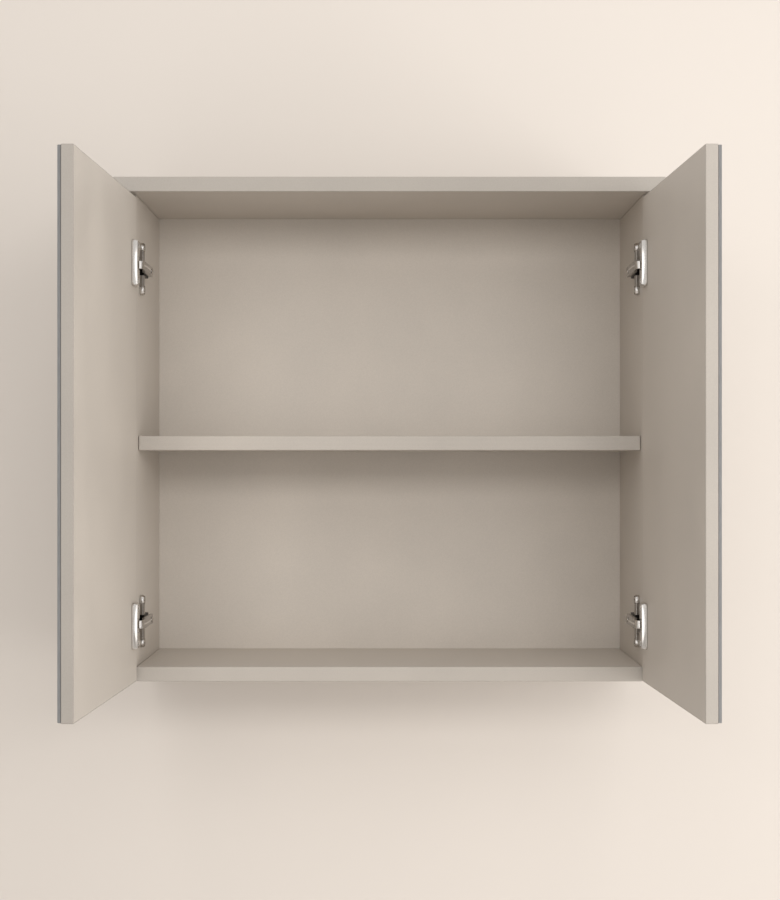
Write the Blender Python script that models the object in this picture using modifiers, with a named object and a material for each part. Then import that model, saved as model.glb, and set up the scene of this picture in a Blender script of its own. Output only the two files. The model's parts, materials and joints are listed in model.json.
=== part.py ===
"""Wall-hung mirror cabinet: an open carcass with a shelf and two mirror doors on cup hinges.

Metres, +Z up, the front faces -Y. The origin lies on the wall, at the middle of the hanging
rail's rear face. The doors are built closed on their pivots and then turned open.
"""
import math

import bmesh
import bpy
from mathutils import Matrix, Vector

# Carcass
WIDTH = 0.588                 # over the two side panels
HEIGHT = 0.550                # underside to top face
DEPTH = 0.200                 # side panels, wall to front edge
PANEL = 0.016                 # laminated board of the carcass and the shelf
TOP_SIDE_LIP = 0.006          # top panel past each side panel
EDGE_ROUND = 0.0006           # softened board edges
FIT = 0.0003                  # gap between pieces that touch
BACK_PANEL = 0.004
GROOVE_DEPTH = 0.006          # back panel groove in the boards around it
SHELF_TOP = 0.2695            # above the underside
SHELF_SETBACK = 0.015         # shelf edge behind the carcass front
SHELF_SIDE_GAP = 0.0006
SHELF_REAR_GAP = 0.0006
DOWEL_DIAMETER = 0.006
DOWEL_LENGTH = 0.018          # half in the side panel, half in the shelf
DOWEL_FROM_END = 0.035        # dowel axis from the shelf's front and rear edges

# Hanging rail and its keyhole plates
RAIL_HEIGHT = 0.080
RAIL_THICKNESS = 0.016
RAIL_TO_BACK = 0.004          # free space between rail and back panel
HANGER_FROM_SIDE = 0.078      # plate axis from the side panel's inner face
HANGER_WIDTH = 0.030
HANGER_HEIGHT = 0.062
HANGER_SHEET = 0.0020
HANGER_CORNER = 0.004
KEYHOLE_HEAD = 0.011          # round end that a wall screw's head passes
KEYHOLE_NECK = 0.0055         # slot that the screw's shank slides up
KEYHOLE_RISE = 0.014          # head centre to neck centre
POCKET_DEPTH = 0.010          # room for the screw's head in the rail
POCKET_MARGIN = 0.002         # pocket past the keyhole's outline
HANGER_SCREW_INSET = 0.006    # screw axis from the plate's ends

# Doors
DOOR_BOARD = 0.012
MIRROR_GLASS = 0.003
MIRROR_MARGIN = 0.0005        # glass inside the board's edge
DOOR_REVEAL = 0.002           # door edge inside the side panel's outer face
DOOR_TOP_GAP = 0.004
DOOR_BOTTOM_RISE = 0.001
MEETING_GAP = 0.003           # between the closed doors
OPEN_ANGLE = math.radians(92.25)

# Hinges: cup in the door
HINGE_FROM_TOP = 0.0746       # hinge level below the door's top edge
HINGE_FROM_BOTTOM = 0.0624    # hinge level above the door's bottom edge
CUP_DIAMETER = 0.026
CUP_WALL = 0.0009
CUP_FLOOR = 0.0006
CUP_TO_EDGE = 0.003           # board left between the cup and the door's edge
BORE_SKIN = 0.001             # board left under the cup's bore
FLANGE_HEIGHT = 0.050
FLANGE_LIP = 0.001            # flange past the cup, away from the door's edge
FLANGE_CORNER = 0.0035
FLANGE_ROOF = 0.0015          # flange thickness over the cup's hollow
FLANGE_CLEARANCE = 0.0008     # closed flange to the side panel's front edge
HOUSING_RISE = 0.0064         # raised housing on the flange, above the door's inner face
HOUSING_CLEARANCE = 0.0012    # closed housing to the side panel's inner face
HOUSING_INSET = 0.0003        # housing inside the flange's outline
HOUSING_CORNER = 0.0008
SWING_CLEARANCE = 0.0005      # turning door corner to the side panel's front edge
CUP_SCREW_SPACING = 0.038

# Hinges: pivot, arm and mounting plate on the side panel
PIN_DIAMETER = 0.0018
PIN_RUN = 0.00015             # pivot pin in its eye
KNUCKLE_WALL = 0.00055
KNUCKLE_RUN = 0.0006          # turning knuckle to the cup's wall
CUP_RUN = 0.0003              # knuckle to the cup's floor
ARM_WIDTH = 0.010
ARM_SHEET = 0.0016
ARM_RISE = 0.010              # arm's outer face above the side panel
ARM_BEND = 0.001              # inner radius of the gooseneck
ARM_END = 0.058               # arm's rear end behind the carcass front
ARM_SLOT_RUN = 0.0010         # arm in the flange's slot
CHANNEL_START = 0.002
CHANNEL_FOOT = 0.0058         # channel walls stop this far above the side panel
CHANNEL_WALL = 0.0013
CHANNEL_PROUD = 0.0005        # channel walls past the arm's width, each side
ARM_SCREW_SETBACK = 0.047
PLATE_SETBACK = 0.028         # wing axis behind the carcass front
PLATE_SCREW_SPACING = 0.047
WING_WIDTH = 0.0112
WING_TOP = 0.0052             # plate's top face above the side panel
PLATE_SEAT = 0.0034           # sunk screw heads' seats above the side panel
BODY_WIDTH = 0.0148           # plate's body under the arm
RIB_START = 0.024
RIB_TO_ARM_END = 0.002
RIB_SIDE_RUN = 0.0004         # rib inside the arm's channel

# Screws: head radius, head height, shank radius, shank length
CUP_SCREW = (0.0028, 0.0010, 0.0014, 0.0125)
PLATE_SCREW = (0.0042, 0.0022, 0.0022, 0.0125)
ARM_SCREW = (0.0028, 0.0014, 0.0015, 0.0065)
HANGER_SCREW = (0.0030, 0.0012, 0.0016, 0.0110)
RECESS_SPAN = 0.62            # reach of the cross recess, as a share of the head's radius
RECESS_ARM = 0.16             # half width of one arm of the cross, as the same share
RECESS_DEPTH = 0.55           # as a share of the head's height

# Facets
ROUND_STEPS = 32
SMALL_STEPS = 12
CORNER_STEPS = 4
SHARP_EDGE = math.radians(30)
WELD_DISTANCE = 0.00001

# Levels and faces worked out from the sizes above
INNER = WIDTH / 2 - PANEL
FRONT = -DEPTH
TOP_UNDERSIDE = RAIL_HEIGHT / 2 + FIT
TOP_FACE = TOP_UNDERSIDE + PANEL
UNDERSIDE = TOP_FACE - HEIGHT
FLOOR_FACE = UNDERSIDE + PANEL
BACK_REAR = -(RAIL_THICKNESS + RAIL_TO_BACK)
BACK_FACE = BACK_REAR - BACK_PANEL

# Hinge geometry: u runs from the door's hinge edge, w into the door from its inner face
KNUCKLE = PIN_DIAMETER / 2 + PIN_RUN + KNUCKLE_WALL
CUP_CENTRE = CUP_TO_EDGE + CUP_DIAMETER / 2
CUP_HOLLOW = CUP_DIAMETER / 2 - CUP_WALL
CUP_BOTTOM = DOOR_BOARD - BORE_SKIN - FIT
PIN_DEPTH = CUP_BOTTOM - CUP_FLOOR - CUP_RUN - KNUCKLE
CUP_CHORD = math.sqrt(CUP_HOLLOW ** 2 - (ARM_WIDTH / 2) ** 2)
PIN_EDGE = CUP_CENTRE - CUP_CHORD + KNUCKLE + KNUCKLE_RUN
DOOR_GAP = math.hypot(PIN_EDGE, PIN_DEPTH) - PIN_DEPTH + SWING_CLEARANCE
FLANGE_TOP = DOOR_GAP - FLANGE_CLEARANCE
SWING_REACH = PIN_DEPTH + DOOR_GAP - SWING_CLEARANCE
FLANGE_EDGE = PIN_EDGE - math.sqrt(SWING_REACH ** 2 - (PIN_DEPTH + FLANGE_TOP) ** 2)
FLANGE_END = CUP_CENTRE + CUP_DIAMETER / 2 + FLANGE_LIP
FLANGE_MIDDLE = (FLANGE_EDGE + FLANGE_END) / 2
HOUSING_START = PANEL - DOOR_REVEAL + HOUSING_CLEARANCE
HOUSING_END = FLANGE_END - HOUSING_INSET
HOUSING_MIDDLE = (HOUSING_START + HOUSING_END) / 2

# Door faces
DOOR_OUTER = WIDTH / 2 - DOOR_REVEAL
DOOR_WIDTH = DOOR_OUTER - MEETING_GAP / 2
DOOR_TOP = TOP_UNDERSIDE - DOOR_TOP_GAP
DOOR_BOTTOM = UNDERSIDE + DOOR_BOTTOM_RISE
DOOR_FACE = FRONT - DOOR_GAP
MIRROR_BACK = DOOR_BOARD + FIT
DOOR_STACK = MIRROR_BACK + MIRROR_GLASS
TOP_FRONT = DOOR_FACE - DOOR_STACK
PIN_X = DOOR_OUTER - PIN_EDGE
PIN_Y = DOOR_FACE - PIN_DEPTH
HINGE_LEVELS = {"upper": DOOR_TOP - HINGE_FROM_TOP, "lower": DOOR_BOTTOM + HINGE_FROM_BOTTOM}
SIDES = {"left": -1, "right": 1}

# Object turns for flat outlines: drawn in XY, thickness along Z before the turn
FACING_FRONT = (math.pi / 2, 0, 0)
FACING_SIDE = (math.pi / 2, 0, math.pi / 2)


# Scene and materials

def clear_scene():
    for item in list(bpy.data.objects):
        bpy.data.objects.remove(item)


def new_collection(name):
    collection = bpy.data.collections.new(name)
    bpy.context.scene.collection.children.link(collection)
    return collection


def new_material(name, colour, roughness, metallic):
    material = bpy.data.materials.new(name)
    material.use_nodes = True
    shader = material.node_tree.nodes["Principled BSDF"]
    shader.inputs["Base Color"].default_value = (*colour, 1)
    shader.inputs["Roughness"].default_value = roughness
    shader.inputs["Metallic"].default_value = metallic
    material.diffuse_color = (*colour, 1)
    return material


clear_scene()
PARTS = new_collection("mirror_cabinet")
CUTTERS = new_collection("cutters")
LAMINATE = new_material("greige_laminate", (0.515, 0.451, 0.386), 0.55, 0.0)
MIRROR = new_material("silvered_glass", (0.86, 0.89, 0.90), 0.03, 1.0)
NICKEL = new_material("polished_nickel", (0.72, 0.69, 0.65), 0.18, 1.0)
ZINC = new_material("zinc_plated_steel", (0.60, 0.60, 0.60), 0.35, 1.0)
BEECH = new_material("beech_dowel", (0.55, 0.38, 0.22), 0.60, 0.0)


# Shape helpers

def add_object(name, mesh, material=None):
    """Links a part, or a cutter where no material is given."""
    item = bpy.data.objects.new(name, mesh)
    if material:
        PARTS.objects.link(item)
        mesh.materials.append(material)
    else:
        CUTTERS.objects.link(item)
        item.hide_render = True
        item.display_type = 'WIRE'
    return item


def smooth(mesh):
    mesh.shade_smooth()
    mesh.set_sharp_from_angle(angle=SHARP_EDGE)


def box(name, low, high, material=None, rounding=0):
    """A block between two corners, given in any order."""
    low, high = Vector(low), Vector(high)
    size = Vector(abs(b - a) for a, b in zip(low, high))
    shape = bmesh.new()
    bmesh.ops.create_cube(shape, size=1, matrix=Matrix.Diagonal((*size, 1)))
    mesh = bpy.data.meshes.new(name)
    shape.to_mesh(mesh)
    shape.free()
    item = add_object(name, mesh, material)
    item.location = (low + high) / 2
    if rounding:
        bevel = item.modifiers.new("soft_edges", 'BEVEL')
        bevel.width = rounding
        bevel.segments = 1
        bevel.limit_method = 'NONE'
    return item


def rod(name, start, end, radius, material=None, steps=SMALL_STEPS):
    """A cylinder between two points."""
    start, end = Vector(start), Vector(end)
    shape = bmesh.new()
    bmesh.ops.create_cone(shape, cap_ends=True, segments=steps, radius1=radius, radius2=radius,
                          depth=(end - start).length)
    mesh = bpy.data.meshes.new(name)
    shape.to_mesh(mesh)
    shape.free()
    smooth(mesh)
    item = add_object(name, mesh, material)
    item.location = (start + end) / 2
    item.rotation_euler = (end - start).to_track_quat('Z', 'Y').to_euler()
    return item


def sheet(name, outline, thickness, location, turn=(0, 0, 0), material=None):
    """A flat outline with a thickness, centred on its plane."""
    curve = bpy.data.curves.new(name, 'CURVE')
    curve.dimensions = '2D'
    curve.fill_mode = 'BOTH'
    curve.extrude = thickness / 2
    spline = curve.splines.new('POLY')
    spline.points.add(len(outline) - 1)
    for point, (x, y) in zip(spline.points, outline):
        point.co = (x, y, 0, 1)
    spline.use_cyclic_u = True
    drawn = bpy.data.objects.new(name + "_outline", curve)
    CUTTERS.objects.link(drawn)
    evaluated = drawn.evaluated_get(bpy.context.evaluated_depsgraph_get())
    mesh = bpy.data.meshes.new_from_object(evaluated)
    bpy.data.objects.remove(drawn)
    bpy.data.curves.remove(curve)
    shape = bmesh.new()
    shape.from_mesh(mesh)
    bmesh.ops.remove_doubles(shape, verts=shape.verts, dist=WELD_DISTANCE)
    bmesh.ops.recalc_face_normals(shape, faces=shape.faces)
    shape.to_mesh(mesh)
    shape.free()
    mesh.materials.clear()
    mesh.name = name
    smooth(mesh)
    item = add_object(name, mesh, material)
    item.location = location
    item.rotation_euler = turn
    return item


def arc(centre, radius, first, last, steps=CORNER_STEPS):
    """Points on an arc between two angles in degrees."""
    points = []
    for step in range(steps + 1):
        angle = math.radians(first + (last - first) * step / steps)
        points.append((centre[0] + radius * math.cos(angle), centre[1] + radius * math.sin(angle)))
    return points


def rounded_rectangle(width, height, radius):
    x, y = width / 2 - radius, height / 2 - radius
    return (arc((x, y), radius, 0, 90) + arc((-x, y), radius, 90, 180)
            + arc((-x, -y), radius, 180, 270) + arc((x, -y), radius, 270, 360))


def stadium(spacing, width):
    """An upright slot shape with round ends a given spacing apart."""
    top = arc((0, spacing / 2), width / 2, 0, 180, SMALL_STEPS)
    return top + arc((0, -spacing / 2), width / 2, 180, 360, SMALL_STEPS)


def boolean(target, tool, operation):
    modifier = target.modifiers.new(tool.name, 'BOOLEAN')
    modifier.operation = operation
    modifier.solver = 'EXACT'
    modifier.object = tool


def cut(target, *tools):
    for tool in tools:
        boolean(target, tool, 'DIFFERENCE')


def fuse(target, *tools):
    for tool in tools:
        boolean(target, tool, 'UNION')


def screw(name, seat, direction, sizes, material):
    """A screw whose head stands on a seat point and whose shank runs along a direction."""
    head_radius, head_height, shank_radius, shank_length = sizes
    profile = [(0, head_height), (head_radius, head_height), (head_radius, 0), (shank_radius, 0),
               (shank_radius, -shank_length + shank_radius), (0, -shank_length)]
    mesh = bpy.data.meshes.new(name)
    edges = [(index, index + 1) for index in range(len(profile) - 1)]
    mesh.from_pydata([(x, 0, z) for x, z in profile], edges, [])
    item = add_object(name, mesh, material)
    turned = item.modifiers.new("turned", 'SCREW')
    turned.steps = SMALL_STEPS
    turned.render_steps = SMALL_STEPS
    turned.use_merge_vertices = True
    turned.merge_threshold = WELD_DISTANCE
    turned.use_smooth_shade = False
    weld = item.modifiers.new("closed_poles", 'WELD')
    weld.merge_threshold = WELD_DISTANCE
    item.location = Vector(seat)
    item.rotation_euler = (-Vector(direction)).to_track_quat('Z', 'Y').to_euler()
    along, up = Vector(direction), Vector((0, 0, 1))
    across = along.cross(up)
    top = Vector(seat) - along * head_height
    long, short = RECESS_SPAN * head_radius, RECESS_ARM * head_radius
    recesses = []
    for place, rise, reach in (("upright", long, short), ("level", short, long)):
        corner = along * RECESS_DEPTH * head_height + up * rise + across * reach
        recesses.append(box(f"{name}_recess_{place}", top - corner, top + corner))
    cut(item, *recesses)
    return item, recesses


def screw_hole(name, seat, direction, sizes):
    """The pilot hole, or the hole through a sheet, for a screw on the same seat."""
    radius, length = sizes[2] + FIT, sizes[3] + FIT
    seat, direction = Vector(seat), Vector(direction)
    return rod(name, seat - direction * FIT, seat + direction * length, radius)


# Carcass

def side_panel(name, side):
    inner, outer = side * INNER, side * (INNER + PANEL)
    panel = box(f"side_panel_{name}", (inner, FRONT, UNDERSIDE), (outer, 0, TOP_UNDERSIDE - FIT),
                LAMINATE, EDGE_ROUND)
    groove = box(f"side_groove_{name}",
                 (inner - side * FIT, BACK_FACE - FIT, FLOOR_FACE - GROOVE_DEPTH),
                 (inner + side * GROOVE_DEPTH, BACK_REAR + FIT, TOP_UNDERSIDE + FIT))
    cut(panel, groove)
    return panel


def top_panel():
    reach = WIDTH / 2 + TOP_SIDE_LIP
    panel = box("top_panel", (-reach, TOP_FRONT, TOP_UNDERSIDE), (reach, 0, TOP_FACE), LAMINATE, EDGE_ROUND)
    groove_reach = INNER + GROOVE_DEPTH
    groove = box("top_groove", (-groove_reach, BACK_FACE - FIT, TOP_UNDERSIDE - FIT),
                 (groove_reach, BACK_REAR + FIT, TOP_UNDERSIDE + GROOVE_DEPTH))
    cut(panel, groove)


def bottom_panel():
    reach = INNER - FIT
    panel = box("bottom_panel", (-reach, FRONT, UNDERSIDE), (reach, 0, FLOOR_FACE), LAMINATE, EDGE_ROUND)
    groove = box("bottom_groove", (-INNER, BACK_FACE - FIT, FLOOR_FACE - GROOVE_DEPTH),
                 (INNER, BACK_REAR + FIT, FLOOR_FACE + FIT))
    cut(panel, groove)


def back_panel():
    reach = INNER + GROOVE_DEPTH - FIT
    box("back_panel", (-reach, BACK_FACE, FLOOR_FACE - GROOVE_DEPTH + FIT),
        (reach, BACK_REAR, TOP_UNDERSIDE + GROOVE_DEPTH - FIT), LAMINATE)


def shelf(side_panels):
    reach = INNER - SHELF_SIDE_GAP
    front, rear = FRONT + SHELF_SETBACK, BACK_FACE - SHELF_REAR_GAP
    top = UNDERSIDE + SHELF_TOP
    board = box("shelf", (-reach, front, top - PANEL), (reach, rear, top), LAMINATE, EDGE_ROUND)
    places = {"front": front + DOWEL_FROM_END, "rear": rear - DOWEL_FROM_END}
    for name, side in SIDES.items():
        for place, y in places.items():
            tip = (side * (INNER - DOWEL_LENGTH / 2), y, top - PANEL / 2)
            root = (side * (INNER + DOWEL_LENGTH / 2), y, top - PANEL / 2)
            rod(f"shelf_dowel_{name}_{place}", tip, root, DOWEL_DIAMETER / 2, BEECH)
            end = Vector((side * FIT, 0, 0))
            hole = rod(f"dowel_hole_{name}_{place}", Vector(tip) - end, Vector(root) + end,
                       DOWEL_DIAMETER / 2 + FIT)
            cut(board, hole)
            cut(side_panels[name], hole)


def keyhole_outline():
    """The round head below and the narrow neck above, about the plate's middle."""
    low, high = -KEYHOLE_RISE / 2, KEYHOLE_RISE / 2
    half = math.degrees(math.asin(KEYHOLE_NECK / KEYHOLE_HEAD))
    head = arc((0, low), KEYHOLE_HEAD / 2, 90 + half, 450 - half, ROUND_STEPS // 2)
    return head + arc((0, high), KEYHOLE_NECK / 2, 0, 180, SMALL_STEPS // 2)


def hanging_rail():
    rail = box("hanging_rail", (-INNER + FIT, -RAIL_THICKNESS, -RAIL_HEIGHT / 2),
               (INNER - FIT, 0, RAIL_HEIGHT / 2), LAMINATE)
    seat_outline = rounded_rectangle(HANGER_WIDTH + 2 * FIT, HANGER_HEIGHT + 2 * FIT, HANGER_CORNER)
    plate_outline = rounded_rectangle(HANGER_WIDTH, HANGER_HEIGHT, HANGER_CORNER)
    for name, side in SIDES.items():
        x = side * (INNER - HANGER_FROM_SIDE)
        seat = sheet(f"hanger_seat_{name}", seat_outline, 2 * (HANGER_SHEET + FIT), (x, 0, 0), FACING_FRONT)
        half_width = KEYHOLE_HEAD / 2 + POCKET_MARGIN
        low = -KEYHOLE_RISE / 2 - half_width
        high = KEYHOLE_RISE / 2 + KEYHOLE_NECK / 2 + POCKET_MARGIN
        pocket = box(f"hanger_pocket_{name}", (x - half_width, -HANGER_SHEET - POCKET_DEPTH, low),
                     (x + half_width, -HANGER_SHEET, high))
        cut(rail, seat, pocket)
        plate = sheet(f"hanger_plate_{name}", plate_outline, HANGER_SHEET,
                      (x, -HANGER_SHEET / 2, 0), FACING_FRONT, ZINC)
        keyhole = sheet(f"keyhole_{name}", keyhole_outline(), 4 * HANGER_SHEET, (x, 0, 0), FACING_FRONT)
        cut(plate, keyhole)
        for place, up in (("upper", 1), ("lower", -1)):
            z = up * (HANGER_HEIGHT / 2 - HANGER_SCREW_INSET)
            head_radius, head_height = HANGER_SCREW[:2]
            seat_point = (x, -head_height - FIT, z)
            inward = (0, -1, 0)
            screw(f"hanger_screw_{name}_{place}", seat_point, inward, HANGER_SCREW, ZINC)
            sunk = rod(f"hanger_counterbore_{name}_{place}", (x, -head_height - 2 * FIT, z),
                       (x, HANGER_SHEET, z), head_radius + FIT)
            hole = screw_hole(f"hanger_hole_{name}_{place}", seat_point, inward, HANGER_SCREW)
            cut(plate, sunk, hole)
            cut(rail, hole)


# Doors, drawn closed; u from the hinge edge, w into the door from its inner face

def door_point(side, u, w, z):
    return Vector((side * (DOOR_OUTER - u), DOOR_FACE - w, z))


def door_pivot(name, side):
    pivot = bpy.data.objects.new(f"{name}_door_pivot", None)
    pivot.location = (side * PIN_X, PIN_Y, 0)
    PARTS.objects.link(pivot)
    return pivot


def hang_on(pivot, *items):
    """Lets pieces and their cutters turn with a pivot."""
    for item in items:
        item.parent = pivot
        item.matrix_parent_inverse = Matrix.Translation(pivot.location).inverted()


def door(name, side, pivot):
    board = box(f"door_board_{name}", door_point(side, 0, 0, DOOR_BOTTOM),
                door_point(side, DOOR_WIDTH, DOOR_BOARD, DOOR_TOP), LAMINATE, EDGE_ROUND)
    glass = box(f"door_mirror_{name}",
                door_point(side, MIRROR_MARGIN, MIRROR_BACK, DOOR_BOTTOM + MIRROR_MARGIN),
                door_point(side, DOOR_WIDTH - MIRROR_MARGIN, DOOR_STACK, DOOR_TOP - MIRROR_MARGIN),
                MIRROR, EDGE_ROUND)
    hang_on(pivot, board, glass)
    return board


def hinge_cup(label, side, level, board, pivot):
    """The cup with its flange and raised housing, the pivot pin and the two screws in the door."""
    middle = door_point(side, FLANGE_MIDDLE, -(FLANGE_TOP + FIT) / 2, level)
    outline = rounded_rectangle(FLANGE_END - FLANGE_EDGE, FLANGE_HEIGHT, FLANGE_CORNER)
    cup = sheet(f"hinge_cup_{label}", outline, FLANGE_TOP - FIT, middle, FACING_FRONT, NICKEL)
    housing_foot = FLANGE_TOP / 2
    housing_height = FLANGE_HEIGHT - 2 * HOUSING_INSET
    housing_outline = rounded_rectangle(HOUSING_END - HOUSING_START, housing_height, HOUSING_CORNER)
    housing = sheet(f"cup_housing_{label}", housing_outline, HOUSING_RISE - housing_foot,
                    door_point(side, HOUSING_MIDDLE, -(HOUSING_RISE + housing_foot) / 2, level), FACING_FRONT)

    def cup_rod(name, radius, top, bottom):
        return rod(f"{name}_{label}", door_point(side, CUP_CENTRE, top, level),
                   door_point(side, CUP_CENTRE, bottom, level), radius, steps=ROUND_STEPS)

    hollow_top = FLANGE_ROOF - FLANGE_TOP
    body = cup_rod("cup_body", CUP_DIAMETER / 2, hollow_top - FIT / 2, CUP_BOTTOM)
    hollow = cup_rod("cup_hollow", CUP_HOLLOW, hollow_top, CUP_BOTTOM - CUP_FLOOR)
    bore = cup_rod("cup_bore", CUP_DIAMETER / 2 + FIT, -FIT, CUP_BOTTOM + FIT)
    slot_half = ARM_WIDTH / 2 + ARM_SLOT_RUN
    slot_end = DOOR_OUTER - INNER + ARM_RISE + ARM_SLOT_RUN
    slot = box(f"cup_slot_{label}",
               door_point(side, CUP_TO_EDGE + CUP_WALL, -HOUSING_RISE - FIT, level - slot_half),
               door_point(side, slot_end, FIT, level + slot_half))
    fuse(cup, body, housing)
    cut(cup, hollow, slot)
    cut(board, bore)

    offset = CUP_CENTRE - PIN_EDGE + PIN_DIAMETER / 2
    pin_half = math.sqrt((CUP_DIAMETER / 2) ** 2 - offset ** 2) - FIT / 2
    up = Vector((0, 0, pin_half))
    axis_point = door_point(side, PIN_EDGE, PIN_DEPTH, level)
    pin = rod(f"pivot_pin_{label}", axis_point - up, axis_point + up, PIN_DIAMETER / 2, NICKEL)
    long = Vector((0, 0, CUP_DIAMETER / 2))
    pin_hole = rod(f"pin_hole_{label}", axis_point - long, axis_point + long, PIN_DIAMETER / 2 + PIN_RUN)
    cut(cup, pin_hole)

    hang_on(pivot, cup, body, housing, hollow, bore, slot, pin, pin_hole)
    into_door = (0, -1, 0)
    head_radius, head_height = CUP_SCREW[:2]
    for place, sign in (("upper", 1), ("lower", -1)):
        z = level + sign * CUP_SCREW_SPACING / 2
        seat = door_point(side, HOUSING_MIDDLE, head_height - HOUSING_RISE, z)
        driven, recesses = screw(f"cup_screw_{label}_{place}", seat, into_door, CUP_SCREW, NICKEL)
        sunk = rod(f"cup_counterbore_{label}_{place}", seat - Vector((0, FIT, 0)),
                   seat + Vector((0, FLANGE_TOP, 0)), head_radius + FIT)
        hole = screw_hole(f"cup_hole_{label}_{place}", seat, into_door, CUP_SCREW)
        cut(cup, sunk, hole)
        cut(board, hole)
        hang_on(pivot, driven, *recesses, sunk, hole)


# Arm and plate on the side panel; s runs inwards from the panel, d back from the carcass front

def panel_point(side, s, d, z):
    return Vector((side * (INNER - s), FRONT + d, z))


def arm_outline(side):
    """Knuckle, gooseneck and web as one bent strip, seen from above, about the pivot axis."""
    half = ARM_SHEET / 2
    web = ARM_RISE + PIN_X - INNER
    rear = ARM_END + FRONT - PIN_Y
    bend = (web - ARM_SHEET - ARM_BEND, half + ARM_BEND)
    lean = math.degrees(math.asin(half / KNUCKLE))
    knuckle = arc((0, 0), KNUCKLE, lean, 360 - lean, ROUND_STEPS // 2)
    outer = arc(bend, ARM_BEND + ARM_SHEET, -90, 0, 2 * CORNER_STEPS)
    inner = arc(bend, ARM_BEND, 0, -90, 2 * CORNER_STEPS)
    strip = knuckle + outer + [(web, rear), (web - ARM_SHEET, rear)] + inner
    return [(-side * x, y) for x, y in strip]


def hinge_arm(label, side, level):
    arm = sheet(f"hinge_arm_{label}", arm_outline(side), ARM_WIDTH, (side * PIN_X, PIN_Y, level),
                material=NICKEL)
    outer_half = ARM_WIDTH / 2 + CHANNEL_PROUD
    walls = []
    for place, sign in (("upper", 1), ("lower", -1)):
        wall = box(f"arm_wall_{label}_{place}",
                   panel_point(side, CHANNEL_FOOT, CHANNEL_START, level + sign * (outer_half - CHANNEL_WALL)),
                   panel_point(side, ARM_RISE - FIT, ARM_END - FIT, level + sign * outer_half))
        walls.append(wall)
    axis_point = Vector((side * PIN_X, PIN_Y, level))
    long = Vector((0, 0, ARM_WIDTH))
    eye = rod(f"arm_eye_{label}", axis_point - long, axis_point + long, PIN_DIAMETER / 2 + PIN_RUN)
    fuse(arm, *walls)
    cut(arm, eye)
    return arm


def hinge_plate(label, side, level, arm, side_panel_object):
    """The cross-shaped plate under the arm, with its two screws and the arm's clamping screw."""
    outward = (side, 0, 0)
    wing_middle = panel_point(side, (WING_TOP + FIT) / 2, PLATE_SETBACK, level)
    plate = sheet(f"hinge_plate_{label}", stadium(PLATE_SCREW_SPACING, WING_WIDTH), WING_TOP - FIT,
                  wing_middle, FACING_SIDE, NICKEL)
    rib_half = ARM_WIDTH / 2 + CHANNEL_PROUD - CHANNEL_WALL - RIB_SIDE_RUN
    rib_top = ARM_RISE - ARM_SHEET - FIT
    rib_end = ARM_END - RIB_TO_ARM_END
    rib = box(f"plate_rib_{label}", panel_point(side, 2 * FIT, RIB_START, level - rib_half),
              panel_point(side, rib_top, rib_end, level + rib_half))
    body = box(f"plate_body_{label}", panel_point(side, 1.5 * FIT, RIB_START + FIT, level - BODY_WIDTH / 2),
               panel_point(side, WING_TOP - FIT, rib_end - FIT, level + BODY_WIDTH / 2))
    fuse(plate, body, rib)
    head_radius, head_height = PLATE_SCREW[:2]
    for place, sign in (("upper", 1), ("lower", -1)):
        z = level + sign * PLATE_SCREW_SPACING / 2
        seat = panel_point(side, PLATE_SEAT, PLATE_SETBACK, z)
        screw(f"plate_screw_{label}_{place}", seat, outward, PLATE_SCREW, NICKEL)
        sunk = rod(f"plate_counterbore_{label}_{place}", panel_point(side, PLATE_SEAT - FIT, PLATE_SETBACK, z),
                   panel_point(side, PLATE_SEAT + 2 * head_height, PLATE_SETBACK, z), head_radius + FIT)
        hole = screw_hole(f"plate_hole_{label}_{place}", seat, outward, PLATE_SCREW)
        cut(plate, sunk, hole)
        cut(side_panel_object, hole)
    seat = panel_point(side, ARM_RISE + FIT, ARM_SCREW_SETBACK, level)
    screw(f"arm_screw_{label}", seat, outward, ARM_SCREW, NICKEL)
    hole = screw_hole(f"arm_hole_{label}", seat, outward, ARM_SCREW)
    cut(arm, hole)
    cut(plate, hole)


# Assembly

def even_shading():
    """Keeps flat faces looking flat beside the rounds and cuts that meet them."""
    for item in PARTS.objects:
        if item.type == 'MESH':
            item.modifiers.new("even_shading", 'WEIGHTED_NORMAL').keep_sharp = True


def build():
    side_panels = {name: side_panel(name, side) for name, side in SIDES.items()}
    top_panel()
    bottom_panel()
    back_panel()
    shelf(side_panels)
    hanging_rail()
    for name, side in SIDES.items():
        pivot = door_pivot(name, side)
        board = door(name, side, pivot)
        for height, level in HINGE_LEVELS.items():
            label = f"{name}_{height}"
            hinge_cup(label, side, level, board, pivot)
            arm = hinge_arm(label, side, level)
            hinge_plate(label, side, level, arm, side_panels[name])
        pivot.rotation_euler.z = side * OPEN_ANGLE
    even_shading()
    bpy.context.view_layer.update()


build()
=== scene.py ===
# %% [markdown]
# # A wall-hung mirror cabinet
#
# This lesson dresses a packed cabinet: laminated boards, two mirror doors and four cup hinges.
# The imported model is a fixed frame. It already has every piece at its real size and place, so the
# script only adds what the frame lacks: a camera, light, finishes and the finer shapes of the fittings.

# %% Load the frame
import json
import math

import bmesh
import bpy
from mathutils import Matrix, Vector


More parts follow.
